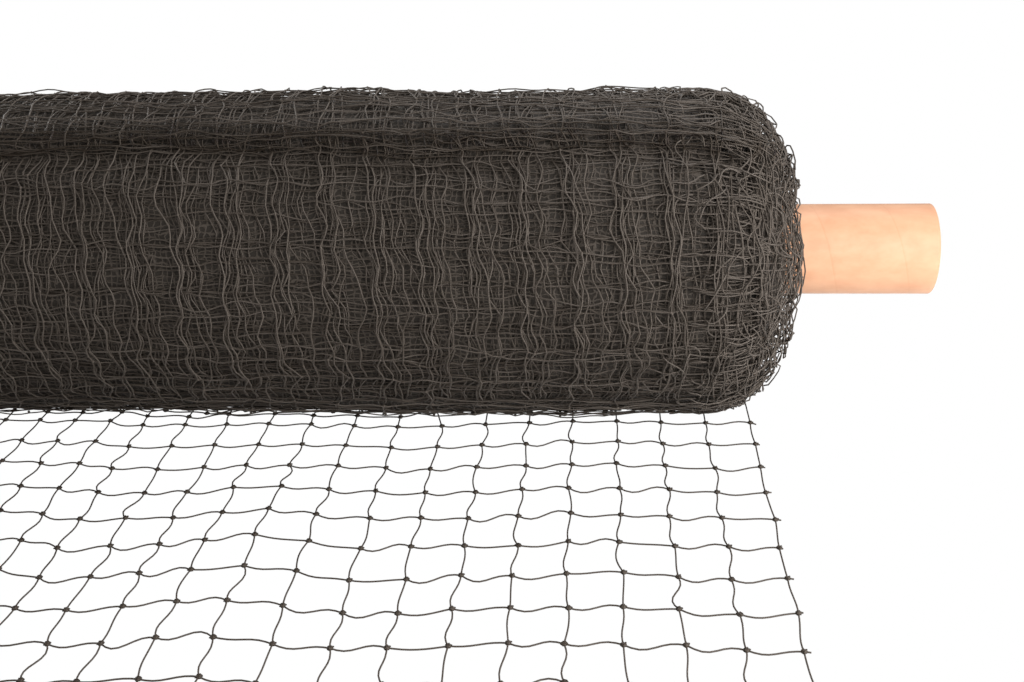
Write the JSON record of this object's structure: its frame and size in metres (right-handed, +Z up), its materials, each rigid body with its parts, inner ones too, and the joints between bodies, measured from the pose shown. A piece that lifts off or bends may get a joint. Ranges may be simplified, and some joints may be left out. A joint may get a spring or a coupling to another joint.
{
  "type": "roll of safety netting on a paper tube",
  "caption": "Black knotted twine net with square meshes, wound on a paper tube that stands out at both ends, its free end laid flat in front; closes off balconies and windows for pets.",
  "frame": {"origin": "on the floor under the middle of the roll, on the flat spot that it lies on", "axes": "+X along the tube, -Y towards the free end of the net, +Z up"},
  "size_m": [0.984, 0.524, 0.2208],
  "materials": {
    "net_twine": "thin black polyethylene twine, semi-matt",
    "tube_paper": "smooth pale kraft paper, spiral wound"
  },
  "bodies": {
    "root": {"core_tube": "tube_paper", "wound_net": "net_twine", "loose_net": "net_twine"}
  },
  "joints": []
}
